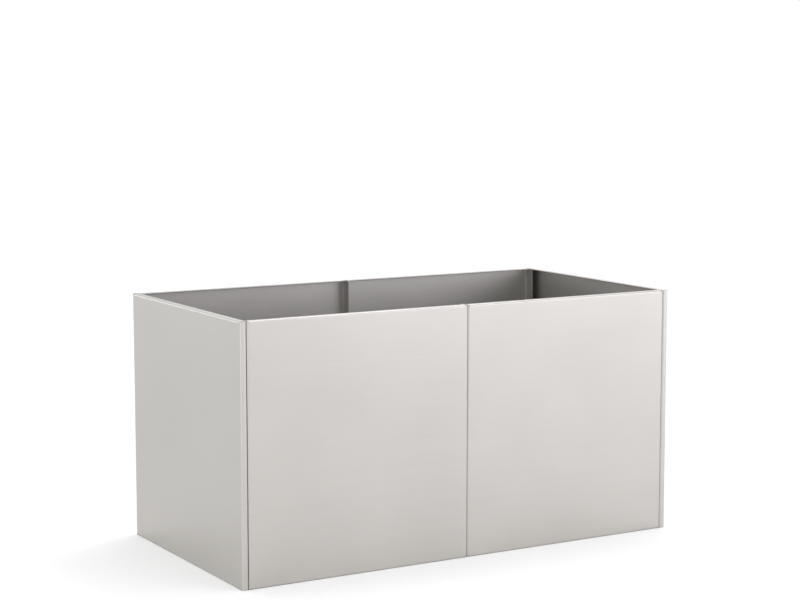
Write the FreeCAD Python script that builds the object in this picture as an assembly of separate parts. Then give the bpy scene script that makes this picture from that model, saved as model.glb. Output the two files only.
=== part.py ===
import FreeCAD, Part
import math
import os

# A rectangular floor planter bolted together from folded stainless sheet.
# The origin is the middle of the underside, +X runs along the length and the front faces -Y.

# Driving dimensions of the box, in millimetres
panel_pitch = 380.0
corner_return = 11.0
box_height = 400.0

# The sheet and its folds, with each bend radius measured on the outer skin
sheet = 1.0
panel_bend = 2.5
corner_bend = 3.5
seam_flange = 20.0
foot_flange = 25.0
relief_slit = 0.6

# The bolted seams, with hexagon bolts and nuts of a standard metric size
bolt_rows = 2
bolt_spacing = 240.0
bolt_from_face = 11.0
bolt_thread = 5.0
bolt_length = 8.0
tie_bolt_length = 12.0
hex_across_flats = 8.0
bolt_head_height = 3.5
nut_height = 5.0
hole_clearance = 0.5
nut_clearance = 0.1

# The floor trays and the tie bar
tray_inset = 13.0
tray_depth = 20.0
tray_middle_gap = 3.0
drain_hole = 10.0
drain_bays = 3
rib_width = 16.0
rib_height = 4.0
rib_end_margin = 45.0
tie_thickness = 3.0
tie_width = 25.0
tie_end_gap = 4.0
tie_corner = 4.0

# Cuts run past the face that they open by this much
overrun = 5.0

# Sizes worked out from the driving dimensions: two panels make a long side, one and its returns make an end,
# and the rim is as wide as a return, so it closes the corner
half_length = panel_pitch + corner_return
end_width = panel_pitch + 2 * corner_return
half_depth = end_width / 2
rim_flange = corner_return
fold_zone = panel_bend + relief_slit
first_bolt = (box_height - bolt_spacing * (bolt_rows - 1)) / 2
bolt_heights = [first_bolt + bolt_spacing * row for row in range(bolt_rows)]
bolt_line = half_depth - bolt_from_face
bolt_hole = bolt_thread + hole_clearance
tie_row = bolt_rows - 1
tray_length = half_length - tray_inset - tray_middle_gap / 2
tray_width = end_width - 2 * tray_inset
tray_top = sheet + tray_depth

V = FreeCAD.Vector
ALONG_X = V(1, 0, 0)
ALONG_Y = V(0, 1, 0)
ALONG_Z = V(0, 0, 1)


def block(low, high):
    """Box between two opposite corners."""
    size = [end - start for start, end in zip(low, high)]
    return Part.makeBox(*size, V(*low))


def rounded_path(corners, radii):
    """Edges of an open path of straight runs, with the corners between them rounded to the radii."""
    edges = []
    start = corners[0]
    for before, corner, after, radius in zip(corners, corners[1:], corners[2:], radii):
        back = (before - corner).normalize()
        onward = (after - corner).normalize()
        bend_start = corner + back * radius
        bend_end = corner + onward * radius
        centre = bend_start + onward * radius
        bend_middle = centre + (corner - centre).normalize() * radius
        edges.append(Part.makeLine(start, bend_start))
        edges.append(Part.Arc(bend_start, bend_middle, bend_end).toShape())
        start = bend_end
    edges.append(Part.makeLine(start, corners[-1]))
    return edges


def folded_strip(corners, bend, run):
    """Sheet folded at right angles along the corners of its outer skin, and extruded along run.

    Seen with run pointing at the eye, every fold turns left, and the thickness lies on that side."""
    up = V(run).normalize()
    lefts = [up.cross((there - here).normalize()) for here, there in zip(corners, corners[1:])]
    inner = [corners[0] + lefts[0] * sheet]
    for corner, left_in, left_out in zip(corners[1:-1], lefts, lefts[1:]):
        inner.append(corner + (left_in + left_out) * sheet)
    inner.append(corners[-1] + lefts[-1] * sheet)
    folds = len(corners) - 2
    edges = rounded_path(corners, [bend] * folds)
    edges += rounded_path(inner, [bend - sheet] * folds)
    edges.append(Part.makeLine(corners[0], inner[0]))
    edges.append(Part.makeLine(corners[-1], inner[-1]))
    outline = Part.Wire(Part.__sortEdges__(edges))
    return Part.Face(outline).extrude(run)


def fold_rim_and_foot(upright, width, depth, bend):
    """Add the rim flange and the foot flange to a panel whose upright folds are made.

    The sheet between the upright bends is opened top and bottom, and a slit frees each flange's ends."""
    for low, high in ((-overrun, fold_zone), (box_height - fold_zone, box_height + overrun)):
        upright = upright.cut(block((bend, -overrun, low), (width - bend, depth, high)))
    start = bend + relief_slit
    profile = [
        V(start, rim_flange, box_height),
        V(start, 0, box_height),
        V(start, 0, 0),
        V(start, foot_flange, 0),
    ]
    flanges = folded_strip(profile, panel_bend, ALONG_X * (width - 2 * start))
    return upright.fuse(flanges).removeSplitter()


def side_panel():
    """One of the equal long side panels, with its face on y = 0 and its folds towards +Y."""
    profile = [
        V(0, seam_flange, 0),
        V(0, 0, 0),
        V(panel_pitch, 0, 0),
        V(panel_pitch, seam_flange, 0),
    ]
    upright = folded_strip(profile, panel_bend, ALONG_Z * box_height)
    panel = fold_rim_and_foot(upright, panel_pitch, sheet + overrun, panel_bend)
    hole_run = panel_pitch + 2 * overrun
    for height in bolt_heights:
        start = V(-overrun, bolt_from_face, height)
        panel = panel.cut(Part.makeCylinder(bolt_hole / 2, hole_run, start, ALONG_X))
    return panel


def end_panel():
    """An end panel: its face on y = 0 wraps round both corners and folds in again as seam flanges."""
    profile = [
        V(seam_flange, corner_return, 0),
        V(0, corner_return, 0),
        V(0, 0, 0),
        V(end_width, 0, 0),
        V(end_width, corner_return, 0),
        V(end_width - seam_flange, corner_return, 0),
    ]
    upright = folded_strip(profile, corner_bend, ALONG_Z * box_height)
    panel = fold_rim_and_foot(upright, end_width, corner_return + overrun, corner_bend)
    # The foot flange is cut back at both ends, where the long sides' foot flanges lie
    clear = foot_flange + relief_slit
    for low, high in ((-overrun, clear), (end_width - clear, end_width + overrun)):
        corner = block((low, corner_return, -overrun), (high, foot_flange + overrun, sheet + overrun))
        panel = panel.cut(corner)
    for height in bolt_heights:
        for across in (bolt_from_face, end_width - bolt_from_face):
            start = V(across, corner_return / 2, height)
            panel = panel.cut(Part.makeCylinder(bolt_hole / 2, corner_return, start, ALONG_Y))
    return panel


def rectangle(middle, length, width, height):
    """Closed rectangle in a level plane, with its length along Y."""
    x, y, z = width / 2, length / 2, height
    corners = [(-x, -y), (x, -y), (x, y), (-x, y), (-x, -y)]
    return Part.makePolygon([V(across, along, z) + middle for across, along in corners])


def pressed_rib(middle, length, bottom, top):
    """Solid form of a rib along Y, whose sides and ends lean in by as much as they rise."""
    lean = 2 * (top - bottom)
    foot = rectangle(middle, length, rib_width, bottom)
    crown = rectangle(middle, length - lean, rib_width - lean, top)
    return Part.makeLoft([foot, crown], True, True)


def floor_tray():
    """A floor tray turned upside down: its edges fold down and carry it, and ribs stiffen its top."""
    notch = fold_zone
    across = [
        V(0, notch, sheet),
        V(0, notch, tray_top),
        V(tray_length, notch, tray_top),
        V(tray_length, notch, sheet),
    ]
    along = [
        V(notch, tray_width, sheet),
        V(notch, tray_width, tray_top),
        V(notch, 0, tray_top),
        V(notch, 0, sheet),
    ]
    tray = folded_strip(across, panel_bend, ALONG_Y * (tray_width - 2 * notch))
    tray = tray.fuse(folded_strip(along, panel_bend, ALONG_X * (tray_length - 2 * notch)))
    tray = tray.removeSplitter()
    # Pressed ribs part the floor into bays; they are hollow below, as the die is one sheet lower than the skin
    middle = tray_width / 2
    bay = tray_length / drain_bays
    rib_length = tray_width - 2 * rib_end_margin
    for gap in range(1, drain_bays):
        rib = pressed_rib(V(bay * gap, middle, 0), rib_length, tray_top - sheet, tray_top + rib_height)
        tray = tray.fuse(rib).cut(rib.translated(ALONG_Z * -sheet))
    # One drain hole in the middle of each bay
    for place in range(drain_bays):
        start = V(bay * (place + 1 / 2), middle, tray_top - sheet - overrun)
        tray = tray.cut(Part.makeCylinder(drain_hole / 2, sheet + 2 * overrun, start))
    return tray


def tie_bar():
    """Flat bar across the middle, bolted beside the middle seams' flanges."""
    reach = half_depth - tie_end_gap
    height = bolt_heights[tie_row]
    low = (sheet, -reach, height - tie_width / 2)
    high = (sheet + tie_thickness, reach, height + tie_width / 2)
    bar = block(low, high)
    corners = [edge for edge in bar.Edges if math.isclose(edge.Length, tie_thickness)]
    bar = bar.makeFillet(tie_corner, corners)
    for y in (-bolt_line, bolt_line):
        start = V(sheet - overrun, y, height)
        bar = bar.cut(Part.makeCylinder(bolt_hole / 2, tie_thickness + 2 * overrun, start, ALONG_X))
    return bar


def hexagon(height):
    """Hexagonal prism on z = 0."""
    corner = hex_across_flats / math.sqrt(3)
    turns = [math.radians(60 * turn) for turn in range(7)]
    outline = Part.makePolygon([V(corner * math.cos(turn), corner * math.sin(turn), 0) for turn in turns])
    return Part.Face(outline).extrude(ALONG_Z * height)


def hex_bolt(length):
    """Hexagon bolt with its head below z = 0 and its thread above."""
    head = hexagon(bolt_head_height)
    head.translate(ALONG_Z * -bolt_head_height)
    return head.fuse(Part.makeCylinder(bolt_thread / 2, length))


def hex_nut():
    """Hexagon nut on z = 0."""
    bore = (bolt_thread + nut_clearance) / 2
    return hexagon(nut_height).cut(Part.makeCylinder(bore, nut_height))


def placed(shape, base, rotation):
    """Copy of a shape, turned and then moved."""
    copy = shape.copy()
    copy.Placement = FreeCAD.Placement(base, rotation).multiply(copy.Placement)
    return copy


def seam_fasteners(x, y, towards, tied):
    """Bolts and nuts of one seam, with the nuts on the side that towards points to."""
    bolts = []
    nuts = []
    rotation = FreeCAD.Rotation(ALONG_Z, towards)
    for row, height in enumerate(bolt_heights):
        with_tie = tied and row == tie_row
        clamped = 2 * sheet + (tie_thickness if with_tie else 0)
        length = tie_bolt_length if with_tie else bolt_length
        head_face = V(x, y, height) - towards * sheet
        bolts.append(placed(hex_bolt(length), head_face, rotation))
        nuts.append(placed(hex_nut(), head_face + towards * clamped, rotation))
    return {"bolts": bolts, "nuts": nuts}


def about_z(degrees):
    """Turn about the upright axis."""
    return FreeCAD.Rotation(ALONG_Z, degrees)


# Place every piece
pieces = {}
panel = side_panel()
for hand, start in (("left", -panel_pitch), ("right", 0)):
    pieces[f"front_{hand}_panel"] = placed(panel, V(start, -half_depth, 0), about_z(0))
    pieces[f"back_{hand}_panel"] = placed(panel, V(start + panel_pitch, half_depth, 0), about_z(180))

end = end_panel()
pieces["left_end_panel"] = placed(end, V(-half_length, half_depth, 0), about_z(-90))
pieces["right_end_panel"] = placed(end, V(half_length, -half_depth, 0), about_z(90))

tray = floor_tray()
tray_corner = V(half_length - tray_inset, tray_width / 2, 0)
pieces["left_floor_tray"] = placed(tray, -tray_corner, about_z(0))
pieces["right_floor_tray"] = placed(tray, tray_corner, about_z(180))
pieces["tie_bar"] = tie_bar()

# Corner seams have their nuts in the pocket behind the return, and the middle seams hold the tie bar
seams = {"left": (-panel_pitch, -ALONG_X), "middle": (0, ALONG_X), "right": (panel_pitch, ALONG_X)}
for side, y in (("front", -bolt_line), ("back", bolt_line)):
    for seam, (x, towards) in seams.items():
        fasteners = seam_fasteners(x, y, towards, seam == "middle")
        for kind, solids in fasteners.items():
            pieces[f"{side}_{seam}_seam_{kind}"] = Part.makeCompound(solids)

os.makedirs("parts", exist_ok=True)
for name, shape in pieces.items():
    shape.exportStep(f"parts/{name}.step")
print(len(pieces), "nodes written")
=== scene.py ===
# %% [markdown]
# # A floor planter of folded stainless sheet
# The planter is a box without a lid: six folded panels bolted together inside, a floor in two trays and a
# tie bar across the middle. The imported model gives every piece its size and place. This lesson gives each
# one a finer mesh and a metal finish, then sets up the studio that it is seen in.

# %% Load the frame
import math

import bmesh
import bpy
from mathutils import Matrix, Vector


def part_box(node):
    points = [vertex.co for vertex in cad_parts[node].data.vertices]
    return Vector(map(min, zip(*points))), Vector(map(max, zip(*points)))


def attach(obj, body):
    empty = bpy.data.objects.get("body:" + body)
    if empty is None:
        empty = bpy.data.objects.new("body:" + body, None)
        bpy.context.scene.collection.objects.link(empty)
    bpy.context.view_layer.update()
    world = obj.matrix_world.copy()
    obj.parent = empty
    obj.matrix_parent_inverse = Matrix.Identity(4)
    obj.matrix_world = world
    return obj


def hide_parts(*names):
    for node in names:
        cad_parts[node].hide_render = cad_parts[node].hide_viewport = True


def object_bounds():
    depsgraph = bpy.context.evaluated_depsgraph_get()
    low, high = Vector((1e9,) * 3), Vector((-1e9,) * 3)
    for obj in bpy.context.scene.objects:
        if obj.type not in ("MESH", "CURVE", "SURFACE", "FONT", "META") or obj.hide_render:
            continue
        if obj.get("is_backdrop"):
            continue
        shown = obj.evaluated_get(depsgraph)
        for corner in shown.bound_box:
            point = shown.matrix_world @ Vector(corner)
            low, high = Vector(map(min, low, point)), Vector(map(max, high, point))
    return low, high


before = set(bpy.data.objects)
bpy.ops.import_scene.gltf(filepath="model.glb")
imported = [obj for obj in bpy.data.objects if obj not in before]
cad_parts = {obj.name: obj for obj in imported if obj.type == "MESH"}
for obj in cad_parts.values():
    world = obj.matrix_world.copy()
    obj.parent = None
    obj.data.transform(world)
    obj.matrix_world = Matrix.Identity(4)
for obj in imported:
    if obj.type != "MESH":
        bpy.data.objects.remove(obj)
cad_low, cad_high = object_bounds()
print("CAD box from", tuple(cad_low), "to", tuple(cad_high))

# %% [markdown]
# ## Folding a sheet
# A press brake bends flat sheet over a die, so each fold is a quarter of a cylinder between two flat parts.
# A sharp corner could be bevelled afterwards, but the slits beside a flange leave no room for that. Spinning
# an edge about the bend's own axis makes the fold in the same way as the machine does, at its true radius.

# %% Folding tools
QUARTER_TURN = 90
BEND_STEPS = 8
TINY = 1e-6
AXIS_X = Vector((1, 0, 0))
AXIS_Y = Vector((0, 1, 0))
AXIS_Z = Vector((0, 0, 1))


def edges_among(points):
    """The edges whose two ends are both among some vertices, in the order of those vertices."""
    points = list(points)
    wanted = set(points)
    near = dict.fromkeys(edge for point in points for edge in point.link_edges)
    return [edge for edge in near if set(edge.verts) <= wanted]


def extend(bm, edges, run):
    """Draw edges out flat along a run, and return the edges at its far side."""
    made = bmesh.ops.extrude_edge_only(bm, edges=edges)
    points = [item for item in made["geom"] if isinstance(item, bmesh.types.BMVert)]
    bmesh.ops.translate(bm, verts=points, vec=run)
    return edges_among(points)


def fold(bm, edges, centre, axis, degrees):
    """Sweep edges round a bend's axis, and return the edges at its far side."""
    ends = list(dict.fromkeys(point for edge in edges for point in edge.verts))
    made = bmesh.ops.spin(bm, geom=edges + ends, cent=centre, axis=axis, angle=math.radians(degrees),
                          steps=BEND_STEPS, use_merge=False)
    return edges_among(item for item in made["geom_last"] if isinstance(item, bmesh.types.BMVert))


def edges_between(edges, axis, low, high):
    """Those of some edges that lie between two places along an axis."""
    return [edge for edge in edges
            if all(low - TINY < point.co[axis] < high + TINY for point in edge.verts)]


print("a fold is swept in", BEND_STEPS, "steps")

# %% [markdown]
# ## Holes
# Holes are punched while the sheet is still a single skin. A boolean would leave long thin triangles, so
# the flat face is cut into a square round the hole, the square is taken out, and its border is bridged to a
# circle. The sheet's thickness then gives the hole its wall.

# %% Punching tools
HOLE_SIDES = 32
HOLE_MARGIN = 0.0012
LIFT = 1e-4


def bridge(bm, first, second, along):
    """Join two loops of edges with faces.

    The second loop is lifted along a direction meanwhile, because the join of two level loops can twist."""
    points = list(dict.fromkeys(point for edge in second for point in edge.verts))
    bmesh.ops.translate(bm, verts=points, vec=along * LIFT)
    bmesh.ops.bridge_loops(bm, edges=first + second)
    bmesh.ops.translate(bm, verts=points, vec=along * -LIFT)


def face_at(bm, axis, centre):
    """The flat face across an axis that holds a point."""
    for face in bm.faces:
        level = all(abs(point.co[axis] - centre[axis]) < TINY for point in face.verts)
        spans = [[point.co[side] for point in face.verts] for side in range(3) if side != axis]
        reach = [place for side, place in enumerate(centre) if side != axis]
        if level and all(min(span) < place < max(span) for span, place in zip(spans, reach)):
            return face


def cut_face(bm, face, point, normal):
    """Cut one face along a plane, and leave the others whole.

    Corners that lie on the plane already are taken as cut, or a second cut there would leave a sliver."""
    bmesh.ops.bisect_plane(bm, geom=[face, *face.verts, *face.edges], dist=TINY, plane_co=point,
                           plane_no=normal)


def punch(bm, axis, centre, diameter):
    """Punch a round hole through the flat face that lies across an axis at a centre."""
    centre = Vector(centre)
    half = diameter / 2 + HOLE_MARGIN
    directions = (AXIS_X, AXIS_Y, AXIS_Z)
    # The upright cuts come last, so that two holes in one flange share none of them
    for side in [side for side in (2, 1, 0) if side != axis]:
        for way in (-half, half):
            cut_face(bm, face_at(bm, axis, centre), centre + directions[side] * way, directions[side])
    square = face_at(bm, axis, centre)
    border = list(square.edges)
    bmesh.ops.delete(bm, geom=[square], context="FACES_ONLY")
    turn = directions[axis].to_track_quat("Z", "Y").to_matrix().to_4x4()
    ring = bmesh.ops.create_circle(bm, segments=HOLE_SIDES, radius=diameter / 2,
                                   matrix=Matrix.Translation(centre) @ turn)["verts"]
    bridge(bm, border, edges_among(ring), directions[axis])


print("a hole has", HOLE_SIDES, "sides")

# %% [markdown]
# ## From skin to piece
# A skin becomes sheet metal when it gets its thickness, on the side that its normals point away from. A
# Solidify modifier would do the same, but here the new inner faces take the finish of the sheet's back at
# once. The sheared edges stay sharp, as on thin sheet. Weighted normals keep the wide flat faces flat beside
# the strips of a fold.

# %% Finishing tools
SHEET = 0.001
SHARP_DEGREES = 50
SHARP = math.radians(SHARP_DEGREES)
FACE_FINISH, BACK_FINISH = 0, 1


def thicken(bm, outside):
    """Give a skin its thickness inwards, with its faces turned towards a point outside it.

    The new inner faces and the edges take the finish of the back."""
    bmesh.ops.recalc_face_normals(bm, faces=bm.faces)
    widest = max(bm.faces, key=lambda face: face.calc_area())
    if widest.normal.dot(Vector(outside) - widest.calc_center_median()) < 0:
        bmesh.ops.reverse_faces(bm, faces=bm.faces)
    skin = bm.faces[:]
    bmesh.ops.solidify(bm, geom=skin, thickness=SHEET)
    for face in bm.faces:
        face.material_index = BACK_FINISH
    for face in skin:
        face.material_index = FACE_FINISH


def finish_piece(bm, name, node, materials):
    """Make a bmesh the object that stands for a node, and say what was made."""
    mesh = bpy.data.meshes.new(name)
    for face in bm.faces:
        face.smooth = True
    bm.to_mesh(mesh)
    bm.free()
    mesh.set_sharp_from_angle(angle=SHARP)
    piece = bpy.data.objects.new(name, mesh)
    bpy.context.scene.collection.objects.link(piece)
    for material in materials:
        mesh.materials.append(material)
    weighted = piece.modifiers.new("Weighted normals", "WEIGHTED_NORMAL")
    weighted.keep_sharp = True
    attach(piece, "root")
    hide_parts(node)
    size = [round(side, 4) for side in piece.dimensions]
    print(name, "has", len(mesh.polygons), "faces and measures", size)


print("edges over", SHARP_DEGREES, "degrees stay sharp")

# %% [markdown]
# ## Metal with a grain
# Rolled or ground metal has a grain, and slow clouds of tone that come from the mill. A picture of grain
# would repeat, so noise is stretched along the sheet instead. Grain and clouds together shift the tone and
# the roughness a little, and the grain alone gives a very small relief. One function serves all finishes,
# because they differ only in colour, gloss and the direction of the grain.

# %% Finish tools
GRAIN_OCTAVES = 3.0
GRAIN_HARSHNESS = 0.6
GRAIN_RELIEF = 0.7
CLOUDS_PER_METRE = 4.5
CLOUD_OCTAVES = 4.0
CLOUD_HARSHNESS = 0.55
TONE_SPREAD = 0.06
NOISE_LOW, NOISE_HIGH = 0.3, 0.7


def linked(tree, kind, links, values):
    """Add a node, set its own values and link its inputs."""
    made = tree.nodes.new(kind)
    for name, value in values.items():
        made.inputs[name].default_value = value
    for name, source in links.items():
        tree.links.new(source, made.inputs[name])
    return made


def math_node(tree, operation, *terms):
    """Add a Math node for some outputs or numbers, and return what it gives."""
    made = tree.nodes.new("ShaderNodeMath")
    made.operation = operation
    for socket, term in zip(made.inputs, terms):
        if isinstance(term, float):
            socket.default_value = term
        else:
            tree.links.new(term, socket)
    return made.outputs["Value"]


def scaled(colour, level):
    """A colour at another brightness, with full alpha."""
    return (*[part * level for part in colour], 1.0)


def metal_finish(name, colour, roughness, spread, grain, bump):
    """Bare metal with a roughness that varies by a spread either way.

    The grain is noise with so many streaks per metre along X, Y and Z, and the bump is its height."""
    material = bpy.data.materials.new(name)
    material.use_nodes = True
    tree = material.node_tree
    shader = tree.nodes["Principled BSDF"]
    shader.inputs["Metallic"].default_value = 1.0
    place = tree.nodes.new("ShaderNodeTexCoord").outputs["Object"]
    stretched = linked(tree, "ShaderNodeMapping", {"Vector": place}, {"Scale": grain})
    streaks = linked(tree, "ShaderNodeTexNoise", {"Vector": stretched.outputs["Vector"]},
                     {"Scale": 1.0, "Detail": GRAIN_OCTAVES, "Roughness": GRAIN_HARSHNESS})
    clouds = linked(tree, "ShaderNodeTexNoise", {"Vector": place},
                    {"Scale": CLOUDS_PER_METRE, "Detail": CLOUD_OCTAVES, "Roughness": CLOUD_HARSHNESS})
    both = math_node(tree, "ADD", streaks.outputs["Fac"], clouds.outputs["Fac"])
    mean = math_node(tree, "MULTIPLY", both, 0.5)
    ramp = linked(tree, "ShaderNodeValToRGB", {"Fac": mean}, {})
    dark, pale = ramp.color_ramp.elements
    dark.position, dark.color = NOISE_LOW, scaled(colour, 1 - TONE_SPREAD)
    pale.position, pale.color = NOISE_HIGH, scaled(colour, 1 + TONE_SPREAD)
    tree.links.new(ramp.outputs["Color"], shader.inputs["Base Color"])
    rough = linked(tree, "ShaderNodeMapRange", {"Value": mean},
                   {"From Min": NOISE_LOW, "From Max": NOISE_HIGH,
                    "To Min": roughness - spread, "To Max": roughness + spread})
    tree.links.new(rough.outputs["Result"], shader.inputs["Roughness"])
    relief = linked(tree, "ShaderNodeBump", {"Height": streaks.outputs["Fac"]},
                    {"Strength": GRAIN_RELIEF, "Distance": bump})
    tree.links.new(relief.outputs["Normal"], shader.inputs["Normal"])
    print("made finish", name)
    return material


print("tones vary by", TONE_SPREAD, "either way")

# %% [markdown]
# ## The satin sheet
# The outside is stainless sheet with a fine satin grain, ground along the coil, so the light spreads softly
# and the metal looks like a warm pale grey. The grain varies within a fraction of a millimetre upwards and
# hardly at all along the panel. The back of the sheet is left as it comes from the mill, duller and without
# a direction. One material with a mask could serve both sides, but each face knows its side already, so two
# plain finishes are simpler.

# %% Sheet finishes
satin_face = metal_finish("satin_face", colour=(0.51, 0.495, 0.467), roughness=0.40, spread=0.06,
                          grain=(3.0, 3.0, 2400.0), bump=0.00003)
mill_back = metal_finish("mill_back", colour=(0.48, 0.468, 0.446), roughness=0.46, spread=0.06,
                         grain=(240.0, 240.0, 240.0), bump=0.00002)

# %% [markdown]
# ## Side panels
# Each long side has two equal panels. A panel's face turns inwards on all four sides: two upright seam
# flanges that carry the bolts, a narrow rim above and a wider foot below. The rim and the foot stop short of
# the upright folds, and a slit parts them, because sheet can't be folded both ways at one point.

# %% Panel sizes
PANEL_BEND = 0.0025
SLIT = 0.0006
FOLD_ZONE = PANEL_BEND + SLIT
SEAM_FLANGE = 0.020
RIM_FLANGE = 0.011
FOOT_FLANGE = 0.025
BOLT_FROM_FACE = 0.011
BOLT_HOLE = 0.0055
HEX_ACROSS_FLATS = 0.008
HEX_CORNER = HEX_ACROSS_FLATS / math.sqrt(3)

# A bolt's head stands on one of its corners, so the box of a pair of bolts ends a corner beyond their axes
bolt_low, bolt_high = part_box("front_left_seam_bolts")
bolt_heights = (bolt_low.z + HEX_CORNER, bolt_high.z - HEX_CORNER)
print("bolts lie at heights", [round(height, 4) for height in bolt_heights])

# %% Rim and foot
def flat_face(bm, width, height, bend, marks=()):
    """Flat face on y = 0 between the bends, and the loose upright edges of its ears above and below.

    Returns the edges that the rim, the foot, the left fold and the right fold start from."""
    across = sorted([bend, bend + SLIT, *marks, width - bend - SLIT, width - bend])
    row = [bm.verts.new((x, 0, FOLD_ZONE)) for x in across]
    bottom = [bm.edges.new(pair) for pair in zip(row, row[1:])]
    top = extend(bm, bottom, (0, 0, height - 2 * FOLD_ZONE))
    uprights = []
    for x in (bend, width - bend):
        chain = [point for point in bm.verts if abs(point.co.x - x) < TINY]
        low, high = sorted(chain, key=lambda point: point.co.z)
        below = bm.verts.new((x, 0, 0))
        above = bm.verts.new((x, 0, height))
        bm.edges.new((below, low))
        bm.edges.new((high, above))
        uprights.append(edges_among([below, low, high, above]))
    inner = (bend + SLIT, width - bend - SLIT)
    return edges_between(top, 0, *inner), edges_between(bottom, 0, *inner), *uprights


def fold_rim(bm, edges, height):
    """Fold the rim inwards from the top of a face."""
    edges = extend(bm, edges, AXIS_Z * SLIT)
    edges = fold(bm, edges, (0, PANEL_BEND, height - PANEL_BEND), AXIS_X, -QUARTER_TURN)
    extend(bm, edges, AXIS_Y * (RIM_FLANGE - PANEL_BEND))


def fold_foot(bm, edges, depth):
    """Fold the foot inwards from the bottom of a face, and return its inner edges."""
    edges = extend(bm, edges, -AXIS_Z * SLIT)
    edges = fold(bm, edges, (0, PANEL_BEND, PANEL_BEND), AXIS_X, QUARTER_TURN)
    return extend(bm, edges, AXIS_Y * (depth - PANEL_BEND))


print("rims reach", RIM_FLANGE, "m inwards and feet", FOOT_FLANGE, "m")

# %% Fold the side panels
def side_panel(width, height):
    """Skin of a side panel, with its face on y = 0 and its folds towards +Y."""
    bm = bmesh.new()
    rim, foot, left, right = flat_face(bm, width, height, PANEL_BEND)
    fold_rim(bm, rim, height)
    fold_foot(bm, foot, FOOT_FLANGE)
    for edges, x, degrees in ((left, PANEL_BEND, -QUARTER_TURN), (right, width - PANEL_BEND, QUARTER_TURN)):
        edges = fold(bm, edges, (x, PANEL_BEND, 0), AXIS_Z, degrees)
        extend(bm, edges, AXIS_Y * (SEAM_FLANGE - PANEL_BEND))
    for x in (0, width):
        for z in bolt_heights:
            punch(bm, 0, (x, BOLT_FROM_FACE, z), BOLT_HOLE)
    return bm


def place_piece(bm, corner, degrees):
    """Turn a piece about the upright axis, then move it to its corner."""
    turn = Matrix.Rotation(math.radians(degrees), 4, "Z")
    bmesh.ops.transform(bm, matrix=Matrix.Translation(corner) @ turn, verts=bm.verts)


for side, degrees in (("front", 0), ("back", 2 * QUARTER_TURN)):
    for hand in ("left", "right"):
        node = f"{side}_{hand}_panel"
        low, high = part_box(node)
        bm = side_panel(high.x - low.x, high.z)
        thicken(bm, (0, -1, 0))
        corner = (low.x, low.y, 0) if side == "front" else (high.x, high.y, 0)
        place_piece(bm, corner, degrees)
        finish_piece(bm, f"{node}_sheet", node, (satin_face, mill_back))

# %% [markdown]
# ## End panels
# An end panel is one face as wide as the planter is deep. It wraps round both corners with a narrow return,
# then folds once more into a lip that lies against the side panel's flange. So the corner edge is a rounded
# fold and the joint shows as a fine upright line just beside it. The foot is cut back where the side panels'
# feet lie.

# %% Fold the end panels
CORNER_BEND = 0.0035
CORNER_RETURN = 0.011


def end_panel(width, height):
    """Skin of an end panel, with its face on y = 0 and its folds towards +Y."""
    bm = bmesh.new()
    clear = FOOT_FLANGE + SLIT
    rim, foot, left, right = flat_face(bm, width, height, CORNER_BEND, (clear, width - clear))
    fold_rim(bm, rim, height)
    foot = fold_foot(bm, foot, CORNER_RETURN)
    extend(bm, edges_between(foot, 0, clear, width - clear), AXIS_Y * (FOOT_FLANGE - CORNER_RETURN))
    straight = CORNER_RETURN - 2 * CORNER_BEND
    for edges, x, way in ((left, CORNER_BEND, 1), (right, width - CORNER_BEND, -1)):
        edges = fold(bm, edges, (x, CORNER_BEND, 0), AXIS_Z, -QUARTER_TURN * way)
        edges = extend(bm, edges, AXIS_Y * straight)
        edges = fold(bm, edges, (x, CORNER_RETURN - CORNER_BEND, 0), AXIS_Z, -QUARTER_TURN * way)
        lip = edges_between(edges, 2, FOLD_ZONE, height - FOLD_ZONE)
        extend(bm, lip, AXIS_X * way * (SEAM_FLANGE - CORNER_BEND))
    for x in (BOLT_FROM_FACE, width - BOLT_FROM_FACE):
        for z in bolt_heights:
            punch(bm, 1, (x, CORNER_RETURN, z), BOLT_HOLE)
    return bm


for hand, degrees in (("left", -QUARTER_TURN), ("right", QUARTER_TURN)):
    node = f"{hand}_end_panel"
    low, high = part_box(node)
    bm = end_panel(high.y - low.y, high.z)
    thicken(bm, (0, -1, 0))
    corner = (low.x, high.y, 0) if hand == "left" else (high.x, low.y, 0)
    place_piece(bm, corner, degrees)
    finish_piece(bm, f"{node}_sheet", node, (satin_face, mill_back))

# %% [markdown]
# ## Pressed ribs
# Ribs stop a thin floor from bending under a load. A displacement could raise them, but needs a fine mesh
# everywhere. A rib is the same long oval again and again, narrower as it rises, so a few rings bridged in
# turn give the form of the die.

# %% Rib tools
RIB_WIDTH = 0.016
RIB_REACH = 0.135
RIB_HEIGHT = 0.004
RIB_STEPS = 8
RIB_SIDES = 32


def rib_ring(bm, middle, radius, rise):
    """A circle pulled apart along Y into a long oval, raised above the tray."""
    turn = Matrix.Rotation(math.pi / RIB_SIDES, 4, "Z")
    ring = bmesh.ops.create_circle(bm, segments=RIB_SIDES, radius=radius, matrix=turn)["verts"]
    for point in ring:
        pull = math.copysign(RIB_REACH, point.co.y)
        point.co += middle + AXIS_Y * pull + AXIS_Z * rise
    return ring


def press_rib(bm, middle):
    """Press a rounded rib along Y into the flat face that holds its middle."""
    face = face_at(bm, 2, middle)
    border = list(face.edges)
    bmesh.ops.delete(bm, geom=[face], context="FACES_ONLY")
    for step in range(RIB_STEPS, 0, -1):
        radius = RIB_WIDTH / 2 * step / RIB_STEPS
        rise = RIB_HEIGHT * (1 + math.cos(math.pi * step / RIB_STEPS)) / 2
        ring = edges_among(rib_ring(bm, middle, radius, rise))
        bridge(bm, border, ring, AXIS_Z)
        border = ring
    bmesh.ops.edgeloop_fill(bm, edges=border)


print("a rib is", RIB_WIDTH, "m wide and", RIB_HEIGHT, "m high")

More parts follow.
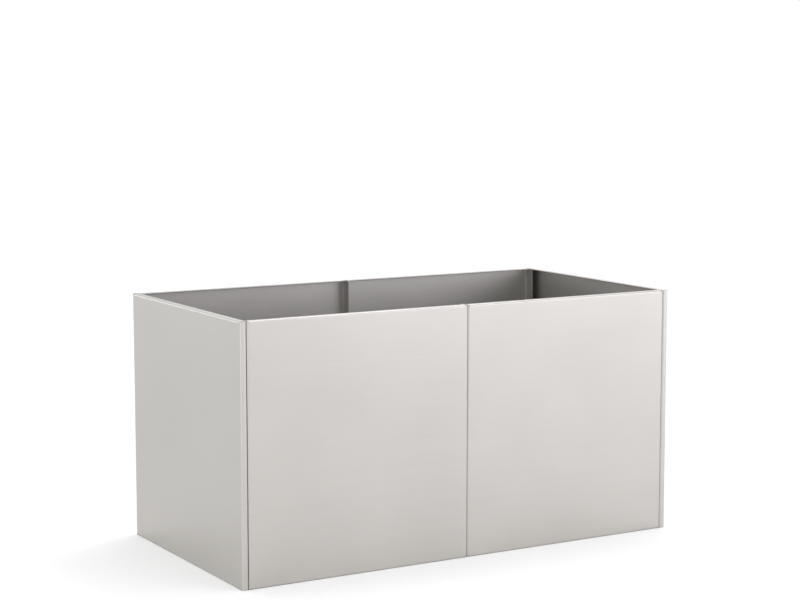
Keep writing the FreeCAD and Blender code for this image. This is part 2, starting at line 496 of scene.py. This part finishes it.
# %% [markdown]
# ## Floor trays
# Two trays lie side by side on the feet of the panels. Each is a sheet with its edges folded down, left dull
# as it comes from the mill. Ribs part it into bays, and a drain hole opens each bay. The four folds start
# from the four edges of one face, so a loop makes them all.

# %% Press the floor trays
DRAIN_HOLE = 0.010
DRAIN_BAYS = 3

tray_steel = metal_finish("tray_steel", colour=(0.64, 0.63, 0.62), roughness=0.45, spread=0.06,
                          grain=(4.0, 900.0, 4.0), bump=0.00002)


def floor_tray(length, width, low, top):
    """Skin of a floor tray, open below, with its top at one height and its edges at another."""
    bm = bmesh.new()
    near, far_x, far_y = FOLD_ZONE, length - FOLD_ZONE, width - FOLD_ZONE
    corners = [(near, near), (far_x, near), (far_x, far_y), (near, far_y)]
    face = bm.faces.new([bm.verts.new((x, y, top)) for x, y in corners])
    middle = Vector((length / 2, width / 2, top))
    for edge in list(face.edges):
        start, end = [point.co.copy() for point in edge.verts]
        out = (start + end) / 2 - middle
        out.normalize()
        far = extend(bm, [edge], out * SLIT)
        hinge = start + out * SLIT - AXIS_Z * PANEL_BEND
        far = fold(bm, far, hinge, AXIS_Z.cross(out), QUARTER_TURN)
        extend(bm, far, AXIS_Z * (low - top + PANEL_BEND))
    # Bays and ribs take turns along the tray
    bay = length / DRAIN_BAYS
    row = [Vector((bay * half / 2, width / 2, top)) for half in range(1, 2 * DRAIN_BAYS)]
    for before, after in zip(row, row[1:]):
        cut_face(bm, face_at(bm, 2, after), (before + after) / 2, AXIS_X)
    for place in row[1::2]:
        press_rib(bm, place)
    for place in row[0::2]:
        punch(bm, 2, place, DRAIN_HOLE)
    return bm


for hand in ("left", "right"):
    node = f"{hand}_floor_tray"
    low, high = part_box(node)
    bm = floor_tray(high.x - low.x, high.y - low.y, low.z, high.z - RIB_HEIGHT)
    thicken(bm, (0, 0, 1))
    place_piece(bm, (low.x, low.y, 0), 0)
    finish_piece(bm, f"{node}_sheet", node, (tray_steel, tray_steel))

# %% [markdown]
# ## The tie bar
# A load inside pushes the long sides outwards, so a flat bar ties their middle seams together. It is drawn
# as an outline with rounded corners and two holes, and then pulled out to its thickness, as a bar is cut
# from flat stock. Its edges are broken with a small bevel, as a deburring wheel leaves them, because they
# catch a line of light.

# %% Cut the tie bar
TIE_CORNER = 0.004
TIE_CORNER_STEPS = 8
TIE_BREAK = 0.0003
TIE_BREAK_STEPS = 2

tie_steel = metal_finish("tie_steel", colour=(0.62, 0.61, 0.60), roughness=0.40, spread=0.06,
                         grain=(900.0, 6.0, 900.0), bump=0.00003)

low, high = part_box("tie_bar")
bm = bmesh.new()
outline = [(low.y, low.z), (high.y, low.z), (high.y, high.z), (low.y, high.z)]
bm.faces.new([bm.verts.new((low.x, y, z)) for y, z in outline])
bmesh.ops.bevel(bm, geom=bm.verts[:], offset=TIE_CORNER, offset_type="OFFSET", segments=TIE_CORNER_STEPS,
                profile=0.5, affect="VERTICES", material=-1)
for y in (cad_low.y + BOLT_FROM_FACE, cad_high.y - BOLT_FROM_FACE):
    punch(bm, 0, (low.x, y, bolt_heights[1]), BOLT_HOLE)
bmesh.ops.recalc_face_normals(bm, faces=bm.faces)
pulled = bmesh.ops.extrude_face_region(bm, geom=bm.faces[:])
moved = [item for item in pulled["geom"] if isinstance(item, bmesh.types.BMVert)]
bmesh.ops.translate(bm, verts=moved, vec=AXIS_X * (high.x - low.x))
bmesh.ops.recalc_face_normals(bm, faces=bm.faces)
sharp = [edge for edge in bm.edges if edge.calc_face_angle() > SHARP]
bmesh.ops.bevel(bm, geom=sharp, offset=TIE_BREAK, offset_type="OFFSET", segments=TIE_BREAK_STEPS,
                profile=0.5, affect="EDGES", material=-1)
finish_piece(bm, "tie_bar_flat", "tie_bar", (tie_steel,))

# %% [markdown]
# ## Bolts
# The seams are held by small hexagon bolts, two in each. A bolt is round but for its head, so it is built as
# a stack of rings that are bridged one after another: a hexagon is only a ring whose points are pushed out
# to the flats. A real head is turned on its top, so its corners are cut by a flat cone. The thread is drawn
# as grooves, because at this size nobody can tell a groove from a helix, and grooves leave a closed mesh.

# %% Ring tools
RING_SIDES = 36
HEX_SIDE_DEGREES = 60
HEX_FLAT = HEX_ACROSS_FLATS / 2
CROWN_SHARE = 0.95
CROWN = HEX_FLAT * CROWN_SHARE
CHAMFER_DEGREES = 30
CHAMFER_SLOPE = math.tan(math.radians(CHAMFER_DEGREES))


def round_ring(bm, radius, height):
    """Circle across the Z axis at a height."""
    place = Matrix.Translation(AXIS_Z * height)
    return bmesh.ops.create_circle(bm, segments=RING_SIDES, radius=radius, matrix=place)["verts"]


def hexagon_ring(bm, height, way):
    """Hexagon at a height, with its points drawn back on to a flat cone along way, or left level by 0."""
    ring = round_ring(bm, HEX_FLAT, height)
    for point in ring:
        turn = math.degrees(math.atan2(point.co.y, point.co.x))
        off_flat = (turn + HEX_SIDE_DEGREES / 2) % HEX_SIDE_DEGREES - HEX_SIDE_DEGREES / 2
        reach = HEX_FLAT / math.cos(math.radians(off_flat))
        point.co.xy *= reach / HEX_FLAT
        point.co.z += way * (reach - CROWN) * CHAMFER_SLOPE
    return ring


print("a hexagon is", HEX_ACROSS_FLATS, "m across its flats")

# %% Bolt shape
HEAD_HEIGHT = 0.0035
CREST = 0.0025
ROOT = 0.0021
PITCH = 0.0008
GROOVE_SHARES = ((0.0, ROOT), (0.35, CREST), (0.6, CREST), (0.95, ROOT))


def hex_bolt(length):
    """Bolt along +Z, with the top of its head on z = 0 and the tip of its thread at the far end."""
    bm = bmesh.new()
    tip = HEAD_HEIGHT + length
    rings = [round_ring(bm, CROWN, 0), hexagon_ring(bm, 0, 1), hexagon_ring(bm, HEAD_HEIGHT, 0)]
    for groove in range(math.floor(length / PITCH) - 1):
        for share, radius in GROOVE_SHARES:
            rings.append(round_ring(bm, radius, HEAD_HEIGHT + PITCH * (groove + share)))
    rings.append(round_ring(bm, CREST, tip - PITCH))
    rings.append(round_ring(bm, ROOT, tip))
    for first, second in zip(rings, rings[1:]):
        bridge(bm, edges_among(first), edges_among(second), AXIS_Z)
    for ring in (rings[0], rings[-1]):
        bmesh.ops.edgeloop_fill(bm, edges=edges_among(ring))
    bmesh.ops.recalc_face_normals(bm, faces=bm.faces)
    return bm


print("thread grooves are", PITCH, "m apart")

# %% Make the bolts
BOLT_LENGTH = 0.008
TIE_BOLT_LENGTH = 0.012
SEAMS = [(side, seam) for side in ("front", "back") for seam in ("left", "middle", "right")]

fastener_steel = metal_finish("fastener_steel", colour=(0.60, 0.59, 0.575), roughness=0.30, spread=0.08,
                              grain=(300.0, 300.0, 300.0), bump=0.00003)


def seam_matrix(x, y, z, way):
    """Lay a fastener's Z axis along X at a place, pointing along way, with two corners up and down."""
    along_x = Matrix(((0, 0, 1, 0), (1, 0, 0, 0), (0, 1, 0, 0), (0, 0, 0, 1)))
    turn = Matrix.Rotation(0 if way > 0 else math.pi, 4, "Z")
    return Matrix.Translation((x, y, z)) @ turn @ along_x


def gather(bm, part, matrix):
    """Move one bmesh into another."""
    part.transform(matrix)
    carrier = bpy.data.meshes.new("carrier")
    part.to_mesh(carrier)
    part.free()
    bm.from_mesh(carrier)
    bpy.data.meshes.remove(carrier)


for side, seam in SEAMS:
    node = f"{side}_{seam}_seam_bolts"
    low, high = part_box(node)
    way = -1 if seam == "left" else 1
    head = high.x if seam == "left" else low.x
    group = bmesh.new()
    for row, height in enumerate(bolt_heights):
        with_tie = seam == "middle" and row == 1
        bolt = hex_bolt(TIE_BOLT_LENGTH if with_tie else BOLT_LENGTH)
        gather(group, bolt, seam_matrix(head, (low.y + high.y) / 2, height, way))
    finish_piece(group, f"{node}_turned", node, (fastener_steel,))

# %% [markdown]
# ## Nuts
# A nut is a stack of rings as well, but the stack goes up the outside and comes back down through the bore,
# so its last ring is bridged to its first. Both faces are chamfered, and the bore is countersunk at both
# ends.

# %% Make the nuts
NUT_HEIGHT = 0.005
BORE = 0.00255
COUNTERSINK = 0.0004


def hex_nut():
    """Nut along +Z, standing on z = 0."""
    bm = bmesh.new()
    rings = [
        round_ring(bm, BORE, COUNTERSINK),
        round_ring(bm, BORE + COUNTERSINK, 0),
        round_ring(bm, CROWN, 0),
        hexagon_ring(bm, 0, 1),
        hexagon_ring(bm, NUT_HEIGHT, -1),
        round_ring(bm, CROWN, NUT_HEIGHT),
        round_ring(bm, BORE + COUNTERSINK, NUT_HEIGHT),
        round_ring(bm, BORE, NUT_HEIGHT - COUNTERSINK),
    ]
    for first, second in zip(rings, rings[1:] + rings[:1]):
        bridge(bm, edges_among(first), edges_among(second), AXIS_Z)
    bmesh.ops.recalc_face_normals(bm, faces=bm.faces)
    return bm


for side, seam in SEAMS:
    node = f"{side}_{seam}_seam_nuts"
    low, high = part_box(node)
    way = -1 if seam == "left" else 1
    near, far = (high.x, low.x) if seam == "left" else (low.x, high.x)
    seats = (near, far - way * NUT_HEIGHT)
    group = bmesh.new()
    for seat, height in zip(seats, bolt_heights):
        gather(group, hex_nut(), seam_matrix(seat, (low.y + high.y) / 2, height, way))
    finish_piece(group, f"{node}_turned", node, (fastener_steel,))

# %% [markdown]
# ## A white studio
# Bare metal has hardly a colour of its own: it shows the room round it. So the room comes before the lamps,
# and here it is a white one without corners, a floor that runs on until it meets the white surroundings.
# Light that is scattered stays a little below full white, so that the planter's soft shadow remains on the
# floor. Rays from the camera or from a reflection see the rest of the white as a faint glow, and thus the
# metal mirrors the same room.

# %% Set up the white room
WHITE = (1.0, 1.0, 1.0, 1.0)
ROOM_LIGHT = 0.97

scene = bpy.context.scene
scene.view_settings.view_transform = "Standard"


def seen_rays(tree):
    """1 for a ray from the camera, from a reflection or through glass, and 0 for scattered light."""
    path = tree.nodes.new("ShaderNodeLightPath")
    mirrored = math_node(tree, "MAXIMUM", path.outputs["Is Glossy Ray"], path.outputs["Is Transmission Ray"])
    return math_node(tree, "MAXIMUM", path.outputs["Is Camera Ray"], mirrored)


room = bpy.data.worlds.new("white_room")
room.use_nodes = True
scene.world = room
tree = room.node_tree
strength = linked(tree, "ShaderNodeMapRange", {"Value": seen_rays(tree)},
                  {"To Min": ROOM_LIGHT, "To Max": 1.0})
tree.nodes["Background"].inputs["Color"].default_value = WHITE
tree.links.new(strength.outputs["Result"], tree.nodes["Background"].inputs["Strength"])
print("the room scatters", ROOM_LIGHT, "of full white")

# %% [markdown]
# ## The floor
# The floor is matt white paint on a plain sheet. Its own shade and the room's light fall short of white, and
# the glow makes up the rest for rays that see it. Below the planter the floor doesn't glow, so the drain
# holes look dark.

# %% Paint the floor
FLOOR_SHADE = 0.9
FLOOR_ROUGHNESS = 0.9

floor_paint = bpy.data.materials.new("floor_paint")
floor_paint.use_nodes = True
tree = floor_paint.node_tree
paint = tree.nodes["Principled BSDF"]
paint.inputs["Base Color"].default_value = scaled(WHITE[:3], FLOOR_SHADE)
paint.inputs["Roughness"].default_value = FLOOR_ROUGHNESS
paint.inputs["Specular IOR Level"].default_value = 0.0
paint.inputs["Emission Color"].default_value = WHITE
place = tree.nodes.new("ShaderNodeTexCoord").outputs["Object"]
stand = linked(tree, "ShaderNodeMapping", {"Vector": place},
               {"Scale": (1 / cad_high.x, 1 / cad_high.y, 1.0)})
sides = linked(tree, "ShaderNodeSeparateXYZ", {"Vector": stand.outputs["Vector"]}, {})
across, along = (math_node(tree, "ABSOLUTE", sides.outputs[side]) for side in "XY")
in_the_open = math_node(tree, "GREATER_THAN", math_node(tree, "MAXIMUM", across, along), 1.0)
seen = math_node(tree, "MULTIPLY", seen_rays(tree), in_the_open)
glow = math_node(tree, "MULTIPLY", seen, 1 - FLOOR_SHADE * ROOM_LIGHT)
tree.links.new(glow, paint.inputs["Emission Strength"])
print("the floor glows with", round(1 - FLOOR_SHADE * ROOM_LIGHT, 3), "of full white")

# %% Lay the floor
FLOOR_REACH = 20.0

bm = bmesh.new()
bmesh.ops.create_grid(bm, x_segments=1, y_segments=1, size=FLOOR_REACH)
floor_mesh = bpy.data.meshes.new("floor")
bm.to_mesh(floor_mesh)
bm.free()
floor_mesh.materials.append(floor_paint)
floor = bpy.data.objects.new("floor", floor_mesh)
scene.collection.objects.link(floor)
floor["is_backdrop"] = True
print("floor reaches", FLOOR_REACH, "m each way")

# %% [markdown]
# ## Softboxes
# The fronts mirror what stands to the right of the camera, a little below level. A wide softbox there, with
# its lower edge above the floor, lights the tops of the panels and leaves their feet to the floor's
# reflection, so each panel fades from pale at the top to a warm grey below. One at the left and a low one at
# the right draw lines of light along the upright folds. One behind hangs high, so that it lights the back
# but doesn't glare on the rims. The last two have a grid, so that their light spreads little: one draws a
# line along the front rim's fold from overhead, and one touches only the top of the left end.

# %% Hang the softboxes
DAYLIGHT = (0.93, 0.91, 1.0)
NO_GRID = 180
GRID = 40


def softbox(name, place, aim, size, power, spread=NO_GRID):
    """Rectangular lamp that faces a point, spreads over some degrees and isn't seen by the camera."""
    lamp = bpy.data.lights.new(name, "AREA")
    lamp.shape = "RECTANGLE"
    lamp.size, lamp.size_y = size
    lamp.energy = power
    lamp.color = DAYLIGHT
    lamp.spread = math.radians(spread)
    holder = bpy.data.objects.new(name, lamp)
    holder.location = place
    holder.rotation_euler = (Vector(aim) - Vector(place)).to_track_quat("-Z", "Y").to_euler()
    holder.visible_camera = False
    scene.collection.objects.link(holder)
    print(name, "gives", power, "W")


softbox("front_right_softbox", place=(1.6, -2.05, 0.9), aim=(0.05, -0.2, 0.4), size=(1.8, 1.0), power=16.0)
softbox("front_left_softbox", place=(-2.0, -1.2, 0.6), aim=(0.0, -0.2, 0.25), size=(1.4, 0.9), power=6.5)
softbox("right_softbox", place=(2.0, -0.2, 0.25), aim=(0.39, -0.2, 0.2), size=(0.9, 0.45), power=2.5)
softbox("back_softbox", place=(1.4, 1.6, 1.9), aim=(0.0, 0.0, 0.4), size=(1.8, 0.8), power=9.0)
softbox("rim_softbox", place=(0.7, 0.3, 2.1), aim=(-0.15, -0.2, 0.4), size=(0.9, 0.4), power=0.5,
        spread=GRID)
softbox("end_softbox", place=(-1.25, 1.55, 0.75), aim=(-0.39, 0.0, 0.5), size=(1.0, 0.5), power=0.25,
        spread=GRID)

# %% [markdown]
# ## The camera
# The camera stands to the left of the planter, a little above its rim, with a long lens that keeps the
# uprights nearly parallel. It is tipped down by some degrees instead of being shifted, so that the other
# views stay centred too.

# %% Place the camera
LENS = 86.62
CAMERA_PLACE = (-1.586, -2.699, 0.7712)
TIP_DOWN = 7.007
TURN_RIGHT = 30.365

optics = bpy.data.cameras.new("camera")
optics.lens = LENS
camera = bpy.data.objects.new("camera", optics)
camera.location = CAMERA_PLACE
camera.rotation_euler = (math.radians(QUARTER_TURN - TIP_DOWN), 0, math.radians(-TURN_RIGHT))
scene.collection.objects.link(camera)
scene.camera = camera
print("camera at", CAMERA_PLACE, "with a", LENS, "mm lens")

# %% [markdown]
# ## Size
# The finer meshes may not outgrow the imported model, so the two boxes are kept side by side.

# %% Measure and finish
low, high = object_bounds()
print("visual box from", tuple(low), "to", tuple(high))
